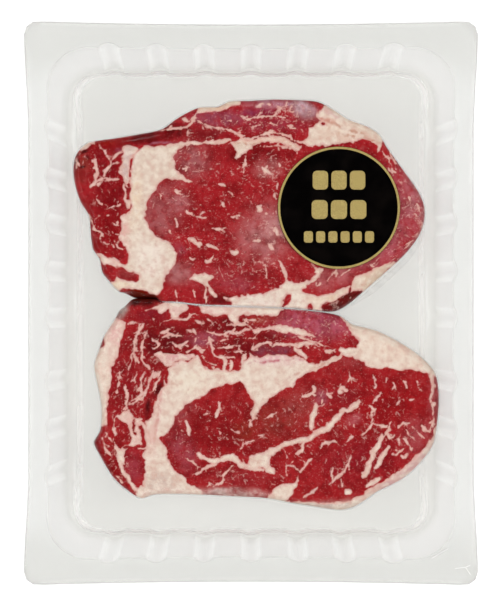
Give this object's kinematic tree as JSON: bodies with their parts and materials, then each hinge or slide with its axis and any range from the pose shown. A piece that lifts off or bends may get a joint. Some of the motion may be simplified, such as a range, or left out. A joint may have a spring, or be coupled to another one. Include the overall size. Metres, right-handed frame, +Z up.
{
  "type": "meat tray pack",
  "caption": "Clear ribbed tray with raw beef steaks pressed side by side under clear skin film, with a round black and gold label.",
  "frame": {"origin": "middle of the flat underside of the tray, on the surface that the pack lies on", "axes": "+Z up out of the tray, +Y along the tray's long side towards the steak with the label, +X to the right"},
  "size_m": [0.2046, 0.2538, 0.0366],
  "materials": {
    "clear_tray_plastic": "clear thermoformed PET, glossy",
    "clear_skin_film": "thin clear skin film, glossy",
    "raw_beef": "raw red meat with cream fat, moist",
    "printed_label": "satin black print with a gold ring and plain gold bars"
  },
  "bodies": {
    "root": {"tray": "clear_tray_plastic", "film": "clear_skin_film", "steak_upper": "raw_beef", "steak_lower": "raw_beef", "label": "printed_label"}
  },
  "joints": []
}
